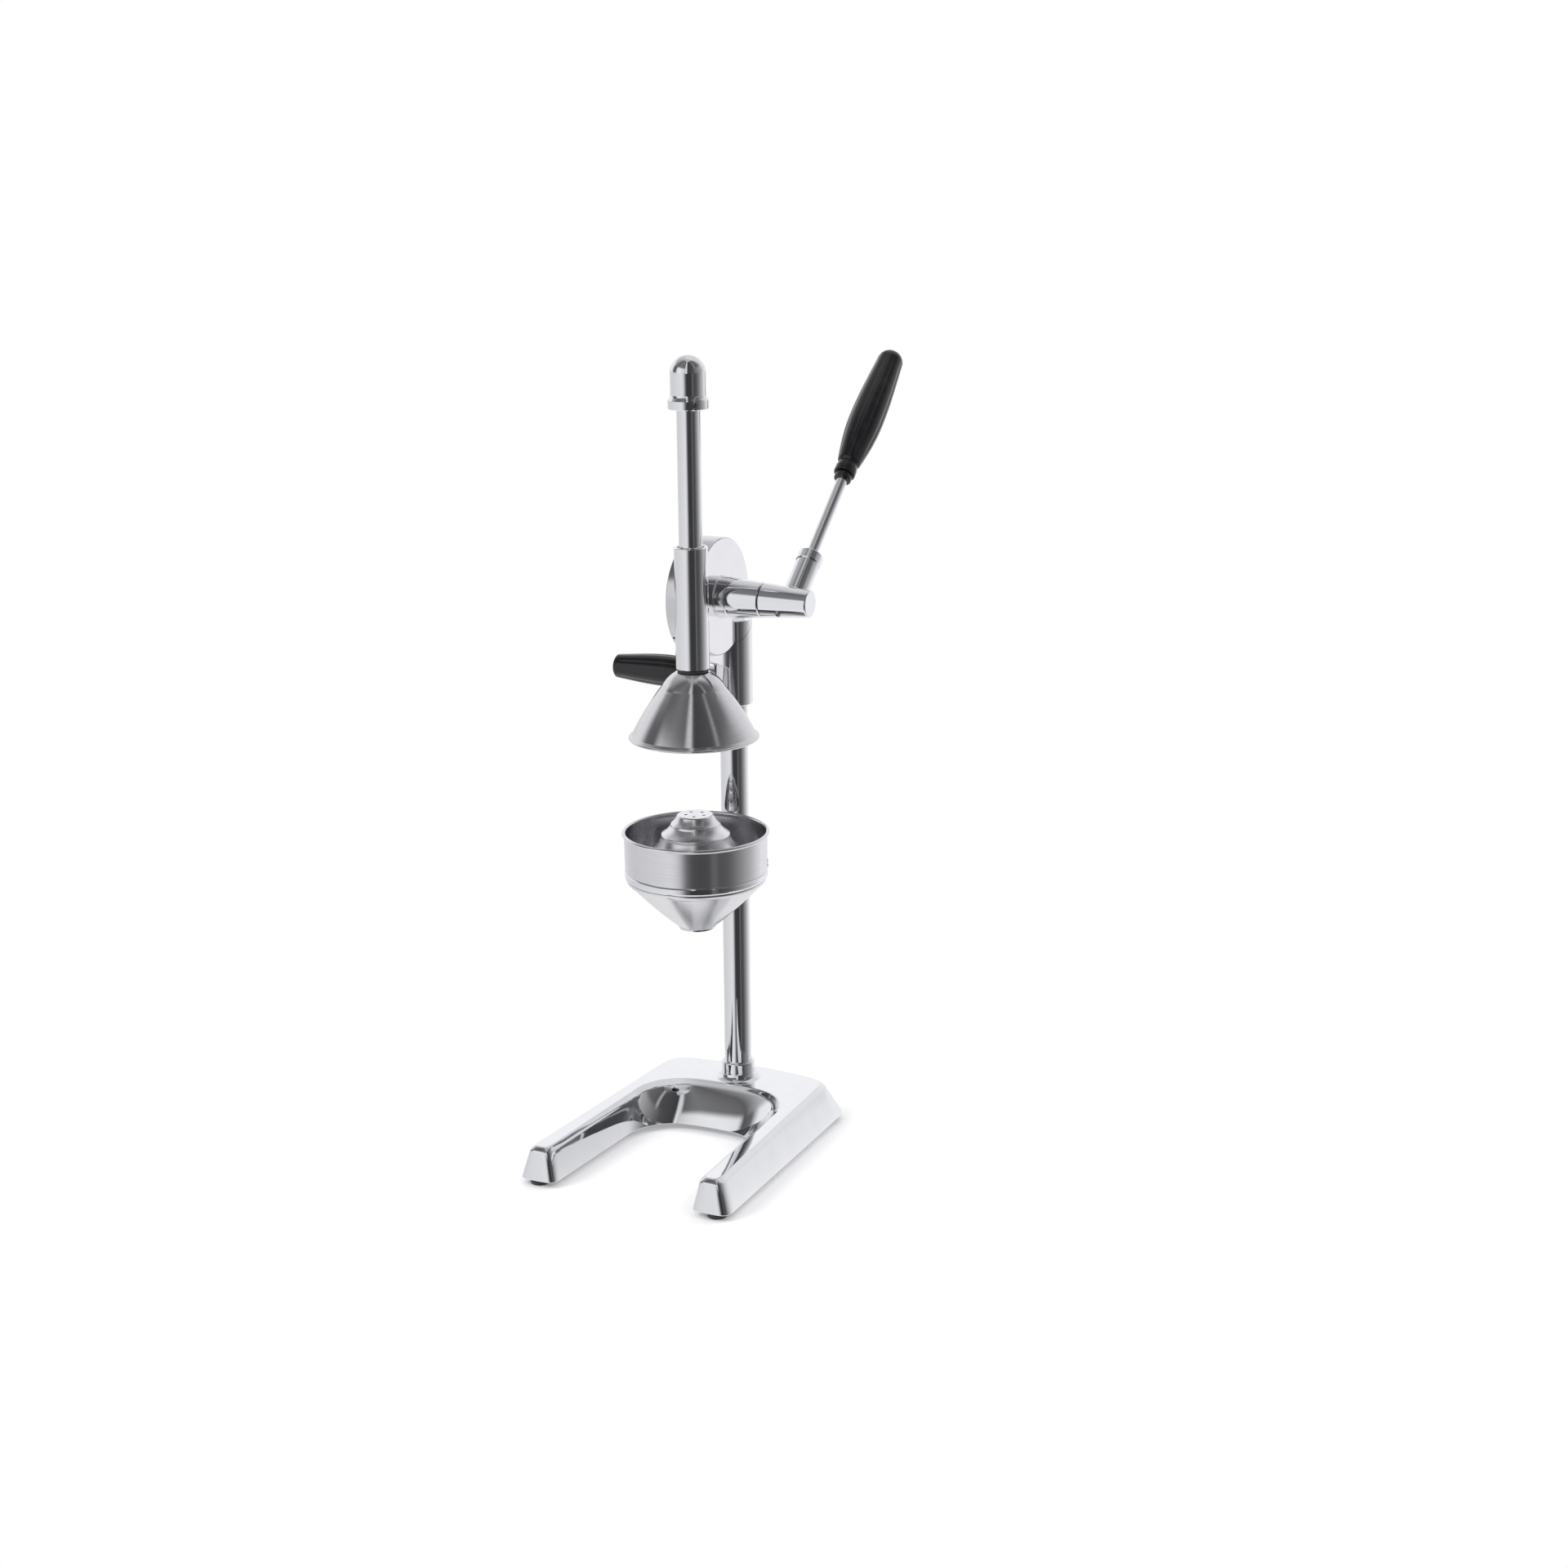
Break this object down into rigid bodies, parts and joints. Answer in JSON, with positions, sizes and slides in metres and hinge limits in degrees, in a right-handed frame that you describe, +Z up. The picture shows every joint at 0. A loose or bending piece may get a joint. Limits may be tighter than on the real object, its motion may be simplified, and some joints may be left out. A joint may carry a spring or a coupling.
{
  "type": "lever citrus press",
  "caption": "Tall manual lever citrus press: rack-driven cone above a reamer, strainer and funnel on a column with a forked base.",
  "frame": {"origin": "on the column's axis at the level of the table", "axes": "+Z up the column, -Y towards the open end of the forked base (the user's side), +X along the lever shaft to the lever"},
  "size_m": [0.211, 0.3998, 0.6805],
  "materials": {
    "base_chrome": "bright chrome plate over a casting",
    "polished_steel": "mirror polished stainless steel",
    "brushed_steel": "spun sheet with fine brushing",
    "satin_case": "satin turned metal",
    "fastener_steel": "plain bright steel",
    "gear_steel": "machined steel",
    "bush_bronze": "sintered bronze",
    "grip_black": "glossy black moulding",
    "foot_rubber": "matte dark rubber"
  },
  "bodies": {
    "stand": {"base_casting": "base_chrome", "column": "polished_steel", "column_cap": "polished_steel", "column_insert": "fastener_steel", "column_washer": "fastener_steel", "column_bolt": "fastener_steel", "centre_foot": "foot_rubber", "rubber_feet": "foot_rubber", "foot_screws": "fastener_steel", "lock_screw": "fastener_steel"},
    "cup_carrier": {"ring_bracket": "polished_steel", "funnel": "brushed_steel"},
    "ring_lock": {"ring_screw": "fastener_steel", "ring_knob": "grip_black"},
    "strainer": {"strainer_bowl": "brushed_steel", "reamer": "brushed_steel"},
    "head": {"gear_case": "satin_case", "bearing_housing": "satin_case", "outer_bush": "bush_bronze", "inner_bush": "bush_bronze", "case_cover": "satin_case", "cover_screws": "fastener_steel", "guide_tube": "polished_steel", "lower_bush": "bush_bronze", "upper_bush": "bush_bronze"},
    "clamp": {"clamp_stud": "fastener_steel", "clamp_ferrule": "polished_steel", "clamp_grip": "grip_black"},
    "lever": {"pinion_gear": "gear_steel", "pinion_shaft": "fastener_steel", "shaft_cap": "satin_case", "lever_head": "satin_case", "head_screw": "fastener_steel", "lever_collar": "polished_steel", "lever_rod": "polished_steel", "lever_ferrule": "grip_black", "lever_grip": "grip_black"},
    "press": {"press_rod": "polished_steel", "rod_cap": "polished_steel", "cap_screw": "fastener_steel", "press_cone": "brushed_steel", "cone_washer": "fastener_steel", "cone_screw": "fastener_steel", "bumper_ring": "foot_rubber"}
  },
  "joints": [
    {"name": "ring_height", "type": "slide", "parent": "stand", "child": "cup_carrier", "axis": [0, 0, 1], "range_m": [-0.08, 0]},
    {"name": "ring_lock_turn", "type": "hinge", "parent": "cup_carrier", "child": "ring_lock", "pos_m": [0, 0.03, 0.222], "axis": [0, 1, 0], "range_deg": [0, 120]},
    {"name": "strainer_lift", "type": "slide", "parent": "cup_carrier", "child": "strainer", "axis": [0, 0, -1], "range_m": [-0.06, 0]},
    {"name": "head_height", "type": "slide", "parent": "stand", "child": "head", "axis": [0, 0, 1], "range_m": [0, 0.04]},
    {"name": "clamp_turn", "type": "hinge", "parent": "head", "child": "clamp", "pos_m": [-0.06, 0, 0.3985], "axis": [1, 0, 0], "range_deg": [0, 120]},
    {"name": "lever_turn", "type": "hinge", "parent": "head", "child": "lever", "pos_m": [0.06, -0.0365, 0.476], "axis": [1, 0, 0], "range_deg": [0, 167]},
    {"name": "press_slide", "type": "slide", "parent": "head", "child": "press", "axis": [0, 0, 1], "range_m": [-0.0936, 0]}
  ],
  "couplings": [
    {"joint": "press_slide", "follows": "lever_turn", "m_per_rad": -0.032}
  ]
}
